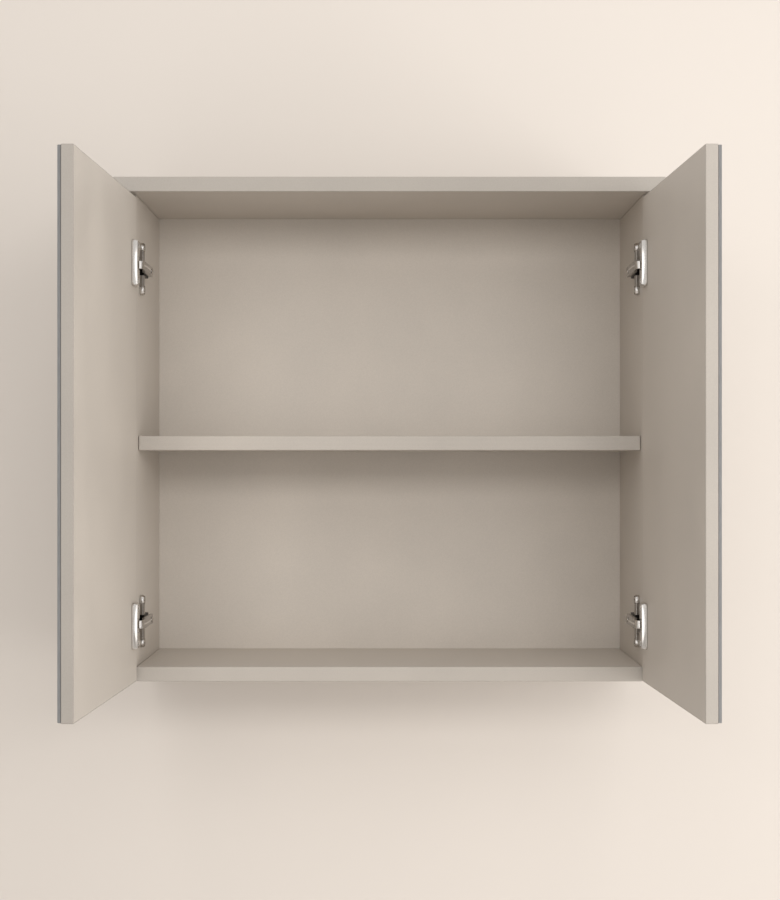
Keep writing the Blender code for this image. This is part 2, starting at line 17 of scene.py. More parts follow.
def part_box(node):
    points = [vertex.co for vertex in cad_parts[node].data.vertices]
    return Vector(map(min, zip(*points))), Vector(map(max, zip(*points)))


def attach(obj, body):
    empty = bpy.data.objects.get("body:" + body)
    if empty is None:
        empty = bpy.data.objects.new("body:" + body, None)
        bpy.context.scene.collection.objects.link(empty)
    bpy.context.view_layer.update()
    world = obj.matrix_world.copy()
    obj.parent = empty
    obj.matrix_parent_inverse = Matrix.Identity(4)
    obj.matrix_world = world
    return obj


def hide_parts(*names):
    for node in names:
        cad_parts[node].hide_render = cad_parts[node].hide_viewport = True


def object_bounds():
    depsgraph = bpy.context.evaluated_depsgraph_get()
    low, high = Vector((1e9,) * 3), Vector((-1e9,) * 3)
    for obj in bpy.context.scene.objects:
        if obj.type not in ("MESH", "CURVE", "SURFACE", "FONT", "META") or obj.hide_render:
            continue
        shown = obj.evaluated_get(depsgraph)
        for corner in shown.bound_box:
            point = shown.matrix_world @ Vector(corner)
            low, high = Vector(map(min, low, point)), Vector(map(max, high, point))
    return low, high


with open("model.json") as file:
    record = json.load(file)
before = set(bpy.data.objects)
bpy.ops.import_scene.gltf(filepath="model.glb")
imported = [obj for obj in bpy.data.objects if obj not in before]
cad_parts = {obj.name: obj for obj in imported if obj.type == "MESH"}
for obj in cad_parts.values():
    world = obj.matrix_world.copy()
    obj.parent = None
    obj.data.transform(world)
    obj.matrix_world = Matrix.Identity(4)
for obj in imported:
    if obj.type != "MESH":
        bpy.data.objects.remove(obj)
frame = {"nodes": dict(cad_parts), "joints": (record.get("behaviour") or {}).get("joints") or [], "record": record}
nodes = frame["nodes"]
cad_low, cad_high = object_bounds()
print("frame:", len(nodes), "nodes,", [round(v * 1000, 1) for v in cad_high - cad_low], "mm")

# %% [markdown]
# ## Doors shut and open
#
# The doors stand open by a little more than a right angle, so nothing on them is square to the axes.
# Fittings are easier to draw on a shut door. The joints say where each door turns and how far it has to
# turn to shut, and that turn, kept as a matrix, carries points from the open door to the shut one and back.

# %% Doors shut and open
SIDES = {"left": -1, "right": 1}
HEIGHTS = ("upper", "lower")
shut_turns = {}
for joint in frame["joints"]:
    to_pivot = Matrix.Translation(joint["pos_m"])
    turn = Matrix.Rotation(math.radians(joint["range_deg"][1]), 4, Vector(joint["axis"]))
    shut_turns[joint["child"]] = to_pivot @ turn @ to_pivot.inverted()


def shut_box(node, body):
    """Lowest and highest corner of a door's node with that door shut."""
    points = [shut_turns[body] @ corner.co for corner in nodes[node].data.vertices]
    low = Vector(min(point[axis] for point in points) for axis in range(3))
    high = Vector(max(point[axis] for point in points) for axis in range(3))
    return low, high


door_low, door_high = shut_box("door_board_right", "right_door")
print("door:", [round(v * 1000, 1) for v in door_high - door_low], "mm when shut")

# %% [markdown]
# ## Camera
#
# The photograph looks straight at the cabinet, a little below its middle. Upright lines stay upright in
# it, so the camera looks level and a small lens shift moves the picture up, as an architect's
# lens does. The focal length comes from how fast the open doors grow towards the viewer.

# %% Camera
PICTURE_WIDTH, PICTURE_HEIGHT = 780, 900
FOCAL_PIXELS = 1589
AXIS_PIXEL = Vector((389.6, 465.5))
CAMERA_PLACE = (0, -1.942, -0.257)
SENSOR = 36

camera = bpy.data.objects.new("camera", bpy.data.cameras.new("camera"))
bpy.context.scene.collection.objects.link(camera)
camera.location = CAMERA_PLACE
camera.rotation_euler = (math.pi / 2, 0, 0)
camera.data.sensor_width = SENSOR
camera.data.lens = SENSOR * FOCAL_PIXELS / PICTURE_HEIGHT
camera.data.shift_x = (PICTURE_WIDTH / 2 - AXIS_PIXEL.x) / PICTURE_HEIGHT
camera.data.shift_y = (AXIS_PIXEL.y - PICTURE_HEIGHT / 2) / PICTURE_HEIGHT
bpy.context.scene.camera = camera
print("camera: lens", round(camera.data.lens, 1), "mm")

# %% [markdown]
# ## Stage
#
# A cabinet hangs, so its backdrop is a plain pale wall with a floor well below. The wall is shown only
# to rays that come from the room: seen from behind it is clear, so the back of the cabinet can be looked
# at too, and the floor is clear from below for the same reason. The wall also lets light through, and so
# the hidden faces are lit like the rest. Reflections that start right at the wall pass through it, or the
# hanger plates would mirror nothing but the dark gap behind the cabinet.

# %% Helpers for nodes
def feed(tree, item, inputs):
    """Sets or links inputs of a node, which are given by name or number."""
    for key, value in inputs.items():
        if isinstance(value, bpy.types.NodeSocket):
            tree.links.new(value, item.inputs[key])
        else:
            item.inputs[key].default_value = value


def add(tree, kind, inputs=None, **settings):
    """Adds a node with its settings and inputs."""
    item = tree.nodes.new(kind)
    for name, value in settings.items():
        setattr(item, name, value)
    feed(tree, item, inputs or {})
    return item


def sum_of(tree, operation, first, second, clamp=False):
    """One step of arithmetic. Returns the socket with the result."""
    return add(tree, "ShaderNodeMath", {0: first, 1: second}, operation=operation, use_clamp=clamp).outputs[0]


def vector_sum(tree, operation, first, second):
    """One step of arithmetic with vectors."""
    return add(tree, "ShaderNodeVectorMath", {0: first, 1: second}, operation=operation).outputs[0]


def scaled(tree, colour, factor):
    """A colour times a factor."""
    return add(tree, "ShaderNodeVectorMath", {0: colour, "Scale": factor}, operation='SCALE').outputs[0]


def spread(tree, value, low, high, from_low=0.0, from_high=1.0):
    """Spreads a value from one range over another, and keeps it inside."""
    inputs = {"Value": value, "From Min": from_low, "From Max": from_high, "To Min": low, "To Max": high}
    return add(tree, "ShaderNodeMapRange", inputs).outputs["Result"]


def new_material(name):
    """A material with a Principled shader. Returns the material, its tree and the shader."""
    material = bpy.data.materials.new(name)
    material.use_nodes = True
    tree = material.node_tree
    return material, tree, tree.nodes["Principled BSDF"]


def show_mix(tree, factor, first, second):
    """Mixes two shaders and makes the mix the material's surface."""
    mix = add(tree, "ShaderNodeMixShader", {0: factor, 1: first, 2: second})
    feed(tree, tree.nodes["Material Output"], {"Surface": mix.outputs[0]})


# %% Stage
WALL_GAP, WALL_SKIP = 0.001, 0.03
STAGE_REACH = 6
FLOOR_DROP = 0.9
WALL_COLOUR = (0.59, 0.542, 0.495, 1)
FLOOR_COLOUR, FLOOR_ROUGHNESS = (0.68, 0.65, 0.62, 1), 0.9


def stage_plane(name, centre, turn, material):
    """A large square that belongs to the stage."""
    corners = [(x * STAGE_REACH, y * STAGE_REACH, 0) for x, y in ((-1, -1), (1, -1), (1, 1), (-1, 1))]
    mesh = bpy.data.meshes.new(name)
    mesh.from_pydata(corners, [], [(0, 1, 2, 3)])
    mesh.materials.append(material)
    plane = bpy.data.objects.new(name, mesh)
    plane.location = centre
    plane.rotation_euler = turn
    bpy.context.scene.collection.objects.link(plane)


def wall_paint():
    """Pale paint for the camera and for reflections in the room, and nothing for other rays."""
    material, tree, shader = new_material("wall_paint")
    tree.nodes.remove(shader)
    paint = add(tree, "ShaderNodeBsdfDiffuse", {"Color": WALL_COLOUR}).outputs[0]
    clear = add(tree, "ShaderNodeBsdfTransparent").outputs[0]
    path = add(tree, "ShaderNodeLightPath").outputs
    behind = add(tree, "ShaderNodeNewGeometry").outputs["Backfacing"]
    away = sum_of(tree, 'GREATER_THAN', path["Ray Length"], WALL_SKIP)
    mirrored = sum_of(tree, 'MULTIPLY', path["Is Glossy Ray"], away)
    seen = sum_of(tree, 'MAXIMUM', path["Is Camera Ray"], mirrored)
    show_mix(tree, sum_of(tree, 'SUBTRACT', seen, behind, clamp=True), clear, paint)
    return material


def floor_paint():
    """Pale paint that is clear to a camera below it."""
    material, tree, shader = new_material("floor_paint")
    feed(tree, shader, {"Base Color": FLOOR_COLOUR, "Roughness": FLOOR_ROUGHNESS})
    clear = add(tree, "ShaderNodeBsdfTransparent").outputs[0]
    from_camera = add(tree, "ShaderNodeLightPath").outputs["Is Camera Ray"]
    behind = add(tree, "ShaderNodeNewGeometry").outputs["Backfacing"]
    show_mix(tree, sum_of(tree, 'MULTIPLY', from_camera, behind), shader.outputs[0], clear)
    return material


wall_y, floor_z = cad_high.y + WALL_GAP, cad_low.z - FLOOR_DROP
stage_plane("wall", (0, wall_y, 0), (math.pi / 2, 0, 0), wall_paint())
stage_plane("floor", (0, 0, floor_z), (0, 0, 0), floor_paint())
print("stage: wall at y =", round(wall_y, 4), "and floor at z =", round(floor_z, 3))

# %% [markdown]
# ## Light
#
# The photograph is lit softly from all round, as in a bright room, and an even world gives most of that.
# The shadows under the top and the shelf are short, so the main light is a low, flat lamp in front, with a
# smaller one on the right. The inner face of the left door is the brightest board: a lamp low at the side
# lights it. One overhead lights the level faces.
#
# Bright fittings show what they face. They reflect two tall, weak fill lamps and none of the others, which
# gives each hinge one soft streak. Shut mirrors would show every lamp as a white patch. Light linking keeps
# the lamps off them, and they show the pale room instead.

# %% Light
LIGHT_AIM = Vector((0, -0.2, -0.22))
LAMPS = {  # place, width, height, watts, whether metal reflects it
    "front": ((0.0, -2.7, 0.4), 2.0, 0.5, 15.5, False),
    "right": ((1.3, -2.4, 0.35), 1.2, 0.5, 8.2, False),
    "low_side": ((1.6, -1.3, -0.5), 1.2, 1.2, 19.5, False),
    "overhead": ((0.0, -2.2, 1.6), 1.8, 1.8, 20, False),
    "fill_left": ((-0.75, -2.7, -0.25), 0.6, 1.75, 5.2, True),
    "fill_right": ((0.75, -2.7, -0.25), 0.6, 1.75, 5, True),
}
LAMP_COLOUR = (1.0, 0.99, 0.98)
WORLD_COLOUR = (1.0, 0.985, 0.97, 1)
WORLD_LIGHT = 0.68
WORLD_SHOWN = 0.9


def soft_lamp(name, place, width, height, watts, reflected):
    """A flat lamp aimed at the cabinet. It lights all but the pieces in the mirrors' collection."""
    data = bpy.data.lights.new(name, 'AREA')
    data.shape = 'RECTANGLE'
    data.size, data.size_y = width, height
    data.energy, data.color = watts, LAMP_COLOUR
    lamp = bpy.data.objects.new(name, data)
    lamp.location = place
    lamp.rotation_euler = (LIGHT_AIM - Vector(place)).to_track_quat('-Z', 'Y').to_euler()
    lamp.visible_glossy = reflected
    lamp.light_linking.receiver_collection = lampless
    bpy.context.scene.collection.objects.link(lamp)


def pale_world():
    """Lights evenly. The camera and reflections see it paler than it lights, but still below white."""
    world = bpy.data.worlds.new("studio")
    world.use_nodes = True
    tree = world.node_tree
    path = add(tree, "ShaderNodeLightPath").outputs
    seen = sum_of(tree, 'MAXIMUM', path["Is Camera Ray"], path["Is Glossy Ray"])
    seen = sum_of(tree, 'MAXIMUM', seen, path["Is Transmission Ray"])
    strength = spread(tree, seen, WORLD_LIGHT, WORLD_SHOWN)
    feed(tree, tree.nodes["Background"], {"Color": WORLD_COLOUR, "Strength": strength})
    bpy.context.scene.world = world


lampless = bpy.data.collections.new("mirrors_without_lamps")
for name, settings in LAMPS.items():
    soft_lamp(name, *settings)
pale_world()
bpy.context.scene.view_settings.view_transform = 'Standard'
print("light:", list(LAMPS), "and a world of", WORLD_LIGHT)

# %% [markdown]
# ## Shared effects
#
# Three effects turn up in several finishes, so each is a node group that is built once. Board grain is
# the faint clouding and the fine orange peel of a pressed laminate. The edge strip finds the thin plastic
# strip that is glued along a board's sawn edges, and the glue line beside it. Handling is the uneven
# gloss that fingers and polishing leave on metal and glass. The strip is found from the board's own
# corners, in object coordinates, so it stays on its edge whatever the view.

# %% Shared effects
SEAM_WIDTH = 0.00016
MOST_NOISE = (0.3, 0.7)  # the band that most of a noise lies in
CLOUD_SCALE, PORE_SCALE, PEEL_SCALE = 11.0, 850.0, 420.0
CLOUD_TONE, PORE_TONE, PORE_BAND = (0.965, 1.035), (0.955, 1.045), (0.25, 0.75)
CLOUD_GLOSS, PORE_GLOSS, PORE_HEIGHT = (0.43, 0.53), (-0.03, 0.05), 0.5
SMEAR_SCALE, SMEAR_BAND, HANDLED_TONE = 34.0, (0.32, 0.68), (0.97, 1.03)


def new_group(name, inputs, outputs, kind='ShaderNodeTree'):
    """An empty group with named sockets. Returns the group, its inputs and its output node."""
    group = bpy.data.node_groups.new(name, kind)
    for sockets, way in ((inputs, 'INPUT'), (outputs, 'OUTPUT')):
        for socket, data in sockets.items():
            group.interface.new_socket(socket, in_out=way, socket_type="NodeSocket" + data)
    return group, add(group, "NodeGroupInput").outputs, add(group, "NodeGroupOutput")


def use_group(tree, group, **inputs):
    """A group at work in a material. Returns its outputs."""
    return add(tree, "ShaderNodeGroup", inputs, node_tree=group).outputs


def noise(tree, place, scale, detail=2.0):
    return add(tree, "ShaderNodeTexNoise", {"Vector": place, "Scale": scale, "Detail": detail}).outputs["Fac"]


def board_grain_group():
    """Colour, gloss and height of a pressed laminate."""
    group, given, result = new_group(
        "board_grain", {"Place": "Vector", "Colour": "Color"},
        {"Colour": "Color", "Roughness": "Float", "Height": "Float"})
    cloud = noise(group, given["Place"], CLOUD_SCALE)
    pores = noise(group, given["Place"], PORE_SCALE, 3.0)
    peel = noise(group, given["Place"], PEEL_SCALE, 1.0)
    tone = sum_of(group, 'MULTIPLY', spread(group, cloud, *CLOUD_TONE, *MOST_NOISE),
                  spread(group, pores, *PORE_TONE, *PORE_BAND))
    gloss = sum_of(group, 'ADD', spread(group, cloud, *CLOUD_GLOSS, *MOST_NOISE),
                   spread(group, pores, *PORE_GLOSS, *MOST_NOISE))
    height = sum_of(group, 'ADD', peel, sum_of(group, 'MULTIPLY', pores, PORE_HEIGHT))
    colour = scaled(group, given["Colour"], tone)
    feed(group, result, {"Colour": colour, "Roughness": gloss, "Height": height})
    return group


def edge_strip_group():
    """The strip covers what lies within its thickness of the box from Low to High."""
    group, given, result = new_group(
        "edge_strip", {"Place": "Vector", "Low": "Vector", "High": "Vector", "Thickness": "Float"},
        {"Strip": "Float", "Seam": "Float"})
    from_low = vector_sum(group, 'SUBTRACT', given["Place"], given["Low"])
    from_high = vector_sum(group, 'SUBTRACT', given["High"], given["Place"])
    axes = add(group, "ShaderNodeSeparateXYZ", {0: vector_sum(group, 'MINIMUM', from_low, from_high)}).outputs
    depth = sum_of(group, 'MINIMUM', sum_of(group, 'MINIMUM', axes[0], axes[1]), axes[2])
    past = sum_of(group, 'SUBTRACT', depth, given["Thickness"])
    off_seam = sum_of(group, 'ABSOLUTE', past, 0.0)
    feed(group, result, {"Strip": spread(group, past, 1.0, 0.0, -SEAM_WIDTH / 2, SEAM_WIDTH / 2),
                         "Seam": spread(group, off_seam, 1.0, 0.0, 0.0, SEAM_WIDTH)})
    return group


def handling_group():
    """Gloss between clean and worn, fine specks, and a tone that follows both."""
    group, given, result = new_group(
        "handling", {"Place": "Vector", "Clean": "Float", "Worn": "Float", "Grain": "Float"},
        {"Roughness": "Float", "Height": "Float", "Tone": "Float"})
    smears = noise(group, given["Place"], SMEAR_SCALE, 4.0)
    specks = noise(group, given["Place"], given["Grain"])
    share = spread(group, smears, 0.0, 1.0, *SMEAR_BAND)
    range_of = sum_of(group, 'SUBTRACT', given["Worn"], given["Clean"])
    rough = sum_of(group, 'ADD', given["Clean"], sum_of(group, 'MULTIPLY', range_of, share))
    tone = sum_of(group, 'MULTIPLY', spread(group, smears, *HANDLED_TONE, *MOST_NOISE),
                  spread(group, specks, *HANDLED_TONE, *MOST_NOISE))
    feed(group, result, {"Roughness": rough, "Height": specks, "Tone": tone})
    return group


BOARD_GRAIN = board_grain_group()
EDGE_STRIP = edge_strip_group()
HANDLING = handling_group()
print("shared effects:", [group.name for group in (BOARD_GRAIN, EDGE_STRIP, HANDLING)])

# %% [markdown]
# ## Laminate
#
# Every board is chipboard with a greige melamine skin. The skin is almost plain: its life comes from a
# soft satin gloss that varies a little. The sawn edges wear a plastic strip, a little darker than the skin.
# Its tone is partly its own and partly painted shade: each board's strip is painted darker by its own
# amount, most on the left door and the top panel and least on the shelf, after how the light falls on it.
# It runs along different edges of each, so a function makes a board's material from the box that its strip
# follows. A side without a strip is put far away, and on the doors a Mapping node turns the coordinates shut.

# %% Laminate
GREIGE = (0.503, 0.456, 0.403, 1)
# painted shade: each door's strip is painted darker, the left one more, after how the light falls
DOOR_STRIP_TONE_AND_SHADE = {"left": 0.58, "right": 0.67}
STRIP_THICKNESS, STRIP_GLOSS = 0.0008, 0.05
SEAM_DARK = 0.45
PEEL_STRENGTH, PEEL_HEIGHT = 0.35, 0.00002
FAR = 9.0
# each strip tone is partly the strip's own and partly painted shade
BANDED_EDGES = {  # tone of the strip, edges that wear it
    "top_panel": (0.64, "-y", "-x", "+x"), "bottom_panel": (0.74, "-y"), "shelf": (0.77, "-y"),
    "side_panel_left": (0.72, "-y", "-z"), "side_panel_right": (0.72, "-y", "-z"),
    "back_panel": (1.0,), "hanging_rail": (1.0,),
}


def object_place(tree, mapping=None):
    """A piece's own coordinates, mapped where a mapping is given."""
    place = add(tree, "ShaderNodeTexCoord").outputs["Object"]
    return add(tree, "ShaderNodeMapping", {"Vector": place, **mapping}).outputs[0] if mapping else place


def shut_mapping(body):
    """The mapping that turns a door's coordinates shut."""
    return {"Location": shut_turns[body].translation, "Rotation": shut_turns[body].to_euler()}


def bumped(tree, height, strength, distance):
    """Normals that follow a height."""
    inputs = {"Height": height, "Strength": strength, "Distance": distance}
    return add(tree, "ShaderNodeBump", inputs).outputs[0]


def laminate(name, low, high, strip_tone_and_shade, mapping=None):
    """Greige laminate whose edge strip follows the box from low to high."""
    material, tree, shader = new_material(name)
    place = object_place(tree, mapping)
    strip = use_group(tree, EDGE_STRIP, Place=place, Low=low, High=high, Thickness=STRIP_THICKNESS)
    grain = use_group(tree, BOARD_GRAIN, Place=place, Colour=GREIGE)
    # The strip's tone, which holds painted shade, and the darker glue seam dim the skin colour.
    dim = sum_of(tree, 'MULTIPLY', spread(tree, strip["Strip"], 1.0, strip_tone_and_shade),
                 spread(tree, strip["Seam"], 1.0, 1.0 - SEAM_DARK))
    rough = sum_of(tree, 'SUBTRACT', grain["Roughness"], spread(tree, strip["Strip"], 0.0, STRIP_GLOSS))
    feed(tree, shader, {"Base Color": scaled(tree, grain["Colour"], dim), "Roughness": rough,
                        "Normal": bumped(tree, grain["Height"], PEEL_STRENGTH, PEEL_HEIGHT)})
    return material


def dress(node, material):
    """Gives a CAD node one material."""
    nodes[node].data.materials.clear()
    nodes[node].data.materials.append(material)


def strip_box(node, *sides):
    """A board's corners with every side far away but the named ones, such as -y or +x."""
    low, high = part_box(node)
    strip_low, strip_high = Vector((-FAR, -FAR, -FAR)), Vector((FAR, FAR, FAR))
    for sign, letter in sides:
        axis = "xyz".index(letter)
        if sign == "-":
            strip_low[axis] = low[axis]
        else:
            strip_high[axis] = high[axis]
    return strip_low, strip_high


def door_strip_box(node, body):
    """The same for a piece of a shut door, which has a strip on all four edges."""
    low, high = shut_box(node, body)
    low.y, high.y = -FAR, FAR
    return low, high


for board, (tone, *edges) in BANDED_EDGES.items():
    dress(board, laminate(f"laminate_{board}", *strip_box(board, *edges), tone))
for name in SIDES:
    board, body = f"door_board_{name}", f"{name}_door"
    tone = DOOR_STRIP_TONE_AND_SHADE[name]
    dress(board, laminate(f"laminate_{body}", *door_strip_box(board, body), tone, shut_mapping(body)))
print("laminate:", len(BANDED_EDGES) + len(SIDES), "boards")

# %% [markdown]
# ## Nickel, zinc and beech
#
# The hinges are nickel-plated steel, mostly satin. The arms' channels are a little rougher, and their nickel
# is painted darker as painted shade, while their pressed ridges are painted pale as a painted highlight. The
# plates have a waist of darker nickel, painted shade, and a body painted near black as a painted shadow in
# the hollow under the arm. The hanger plates are zinc plated, and the shelf rests on beech dowels. Metal needs
# little colour of its own, because it shows the room. What makes it real is uneven gloss, so all platings use
# the handling group. Zinc also has small crystals, which a Voronoi texture gives, and beech has fine dark
# flecks that run along the dowel.

# %% Nickel, zinc and beech
PLATINGS = {  # colour, roughness when clean and when worn, specks per metre
    # painted shadow: near black for the plates' body and rib under each arm
    "painted_shadow_black": ((0.012, 0.0115, 0.011), 0.38, 0.5, 2000.0),
    # painted shade: darker nickel for the plates' waist
    "painted_shade_plate_nickel": ((0.29, 0.265, 0.24), 0.2, 0.32, 2200.0),
    # painted highlight: pale nickel for the pressed ridges of the arms
    "polished_nickel": ((0.93, 0.91, 0.88), 0.14, 0.22, 2600.0),
    # painted shade: darker nickel for the arms' channels, which are also a little rougher
    "painted_shade_arm_nickel": ((0.40, 0.38, 0.36), 0.18, 0.28, 2400.0),
    "satin_nickel": ((0.62, 0.595, 0.565), 0.11, 0.19, 2600.0),
    "zinc_plating": ((0.60, 0.61, 0.62), 0.32, 0.44, 1800.0),
}
SPECK_STRENGTH, SPECK_DEPTH, ZINC_SPECK_DEPTH = 0.2, 0.00001, 0.00002
CRYSTAL_SIZE, CRYSTAL_TONE, CRYSTAL_GLOSS = 0.0025, (0.86, 1.1), (-0.06, 0.06)
BEECH_LIGHT, BEECH_DARK = (0.62, 0.43, 0.26, 1), (0.42, 0.26, 0.14, 1)
FLECK_SCALE, BAND_SCALE, FLECK_STRETCH = 1500.0, 260.0, (0.12, 1, 1)
FLECK_BAND, BAND_DEPTH, FLECK_ROUGHNESS = (0.45, 0.75), (0.3, 1.0), (0.5, 0.7)
FLECK_STRENGTH, FLECK_DEPTH = 0.4, 0.0001


def blend_colours(tree, factor, first, second):
    """Two colours mixed by a factor."""
    return add(tree, "ShaderNodeMix", {0: factor, 6: first, 7: second}, data_type='RGBA').outputs[2]


def plated(name, depth=SPECK_DEPTH, crystals=False):
    """Plated steel: handled gloss, fine specks and, where wanted, crystals."""
    colour, clean, worn, specks = PLATINGS[name]
    material, tree, shader = new_material(name)
    place = object_place(tree)
    wear = use_group(tree, HANDLING, Place=place, Clean=clean, Worn=worn, Grain=specks)
    tone, rough = wear["Tone"], wear["Roughness"]
    if crystals:
        cells = add(tree, "ShaderNodeTexVoronoi", {"Vector": place, "Scale": 1 / CRYSTAL_SIZE}).outputs
        shade = add(tree, "ShaderNodeSeparateColor", {0: cells["Color"]}).outputs[0]
        tone = sum_of(tree, 'MULTIPLY', tone, spread(tree, shade, *CRYSTAL_TONE))
        rough = sum_of(tree, 'ADD', rough, spread(tree, shade, *CRYSTAL_GLOSS))
    feed(tree, shader, {"Base Color": scaled(tree, colour, tone), "Roughness": rough, "Metallic": 1,
                        "Normal": bumped(tree, wear["Height"], SPECK_STRENGTH, depth)})
    return material


def beech():
    """Pale wood with darker flecks stretched along the dowels, which lie along X."""
    material, tree, shader = new_material("beech")
    along = object_place(tree, {"Scale": FLECK_STRETCH})
    flecks = noise(tree, along, FLECK_SCALE, 3.0)
    bands = noise(tree, along, BAND_SCALE)
    share = sum_of(tree, 'MULTIPLY', spread(tree, flecks, 0.0, 1.0, *FLECK_BAND),
                   spread(tree, bands, *BAND_DEPTH))
    feed(tree, shader, {"Base Color": blend_colours(tree, share, BEECH_LIGHT, BEECH_DARK),
                        "Roughness": spread(tree, flecks, *FLECK_ROUGHNESS),
                        "Normal": bumped(tree, flecks, FLECK_STRENGTH, FLECK_DEPTH)})
    return material


painted_shadow_black, painted_shade_plate = plated("painted_shadow_black"), plated("painted_shade_plate_nickel")
polished, painted_shade_arm, nickel = plated("polished_nickel"), plated("painted_shade_arm_nickel"), plated("satin_nickel")
zinc = plated("zinc_plating", ZINC_SPECK_DEPTH, crystals=True)
FINISHES = {"nickel": nickel, "zinc": zinc, "beech": beech()}
for subpart in frame["record"]["subparts"]:
    if subpart["material_slot"] in FINISHES:
        dress(subpart["node"], FINISHES[subpart["material_slot"]])
print("metal and wood:", *PLATINGS, FINISHES["beech"].name)

# %% [markdown]
# ## Mirrors
#
# Each door carries a sheet of silvered glass on its outer face. Open, it shows only as a thin grey line
# at the door's near edge: the ground edge of the glass. The right one is painted paler, as painted light
# from the lamps on the right. A plain block would do for that line, but shut doors are all mirror, so the
# sheet gets a rounded ground edge, a silver front and a painted rear. It is lofted: rings of the same
# outline, each a little smaller than the last, are skinned to one shape.

# %% Shapes from rings
CORNER_STEPS, RIM_STEPS = 6, 4
LEAST_BEND = 0.00005
SHARP_ANGLE = math.radians(32)


def rounded_outline(corners, inset=0.0):
    """Points round a right-angled outline, inset by a distance.

    The corners go anticlockwise, each with its radius. Outward corners tighten with the inset and inward
    ones widen.
    """
    points = []
    count = len(corners)
    for index, (x, y, radius) in enumerate(corners):
        corner = Vector((x, y))
        along = (corner - Vector(corners[index - 1][:2])).normalized()
        onward = (Vector(corners[(index + 1) % count][:2]) - corner).normalized()
        inward = Vector((-along.y, along.x))
        turn = 1 if onward.dot(inward) > 0 else -1
        corner += inset * (inward + Vector((-onward.y, onward.x)))
        bend = max(radius - turn * inset, LEAST_BEND)
        centre = corner - along * bend + onward * bend
        for step in range(CORNER_STEPS + 1):
            angle = math.pi / 2 * step / CORNER_STEPS
            points.append(centre - onward * bend * math.cos(angle) + along * bend * math.sin(angle))
    return points


def rectangle(low, high, radius):
    """Corners of a rectangle for rounded_outline."""
    (x, y), (far_x, far_y) = low, high
    return [(x, y, radius), (far_x, y, radius), (far_x, far_y, radius), (x, far_y, radius)]


def rim(radius):
    """Insets and rises round the quarter circle of a rounded rim."""
    turns = [math.pi / 2 * step / RIM_STEPS for step in range(RIM_STEPS + 1)]
    return [(radius * (1 - math.cos(turn)), radius * math.sin(turn)) for turn in turns]


def loft(name, rings):
    """A closed skin over rings of points. Its last two faces cap the first and the last ring."""
    count = len(rings[0])
    faces = []
    for ring in range(len(rings) - 1):
        start, above = ring * count, (ring + 1) * count
        for step in range(count):
            after = (step + 1) % count
            faces.append((start + step, start + after, above + after, above + step))
    faces.append(tuple(range(count)))
    faces.append(tuple(range((len(rings) - 1) * count, len(rings) * count)))
    mesh = bpy.data.meshes.new(name)
    mesh.from_pydata([point for ring in rings for point in ring], [], faces)
    shape = bmesh.new()
    shape.from_mesh(mesh)
    bmesh.ops.recalc_face_normals(shape, faces=shape.faces)
    shape.to_mesh(mesh)
    shape.free()
    return mesh


def show_piece(name, mesh, body, replaced):
    """Shades a mesh that is already in place, and lets it stand for CAD nodes on a body."""
    mesh.shade_smooth()
    mesh.set_sharp_from_angle(angle=SHARP_ANGLE)
    piece = bpy.data.objects.new(name, mesh)
    bpy.context.scene.collection.objects.link(piece)
    piece.modifiers.new("even_shading", 'WEIGHTED_NORMAL').keep_sharp = True
    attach(piece, body)
    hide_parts(*replaced)
    return piece


# %% Mirror finishes
SILVER, SILVER_CLEAN, SILVER_WORN, SILVER_SPECKS = (0.88, 0.90, 0.895), 0.01, 0.045, 300.0
SILVER_TONE, TONE_BAND = (0.985, 1.0), (0.94, 1.06)
SILVER_EDGE, EDGE_DIM, EDGE_ROUGHER = 0.0009, 0.6, 0.2
GLASS_EDGE_DARK, GLASS_EDGE_PALE = (0.29, 0.293, 0.295), (0.36, 0.365, 0.368)
# painted light: the right glass edge is painted paler, where more light falls
GLASS_EDGE_PAINTED_LIGHT = {"left": 1.0, "right": 1.3}
STREAK_SCALE, STREAK_STRETCH, STREAK_ROUGHNESS = 1400.0, (1, 1, 0.08), (0.3, 0.5)
STREAK_STRENGTH, STREAK_DEPTH = 0.3, 0.00005
PAINT_GREY, PAINT_CLEAN, PAINT_WORN, PAINT_SPECKS = (0.24, 0.25, 0.26), 0.5, 0.65, 900.0


def silver_front(name, low, high, mapping):
    """Silvered glass, slightly smeared, that ends in a thin dull line at its edges."""
    material, tree, shader = new_material(name)
    place = object_place(tree, mapping)
    edge = use_group(tree, EDGE_STRIP, Place=place, Low=low, High=high, Thickness=SILVER_EDGE)["Strip"]
    wear = use_group(tree, HANDLING, Place=place, Clean=SILVER_CLEAN, Worn=SILVER_WORN, Grain=SILVER_SPECKS)
    tone = sum_of(tree, 'MULTIPLY', spread(tree, wear["Tone"], *SILVER_TONE, *TONE_BAND),
                  spread(tree, edge, 1.0, EDGE_DIM))
    rough = sum_of(tree, 'ADD', wear["Roughness"], spread(tree, edge, 0.0, EDGE_ROUGHER))
    feed(tree, shader, {"Base Color": scaled(tree, SILVER, tone), "Roughness": rough, "Metallic": 1})
    return material


def ground_edge(name, tone):
    """The matt, streaky grey of a ground glass edge, scaled by a tone that carries painted light."""
    material, tree, shader = new_material(name)
    streaks = noise(tree, object_place(tree, {"Scale": STREAK_STRETCH}), STREAK_SCALE, 3.0)
    dark, pale = ((*(tone * part for part in colour), 1) for colour in (GLASS_EDGE_DARK, GLASS_EDGE_PALE))
    colour = blend_colours(tree, spread(tree, streaks, 0.0, 1.0, *MOST_NOISE), dark, pale)
    feed(tree, shader, {"Base Color": colour, "Roughness": spread(tree, streaks, *STREAK_ROUGHNESS),
                        "Normal": bumped(tree, streaks, STREAK_STRENGTH, STREAK_DEPTH)})
    return material


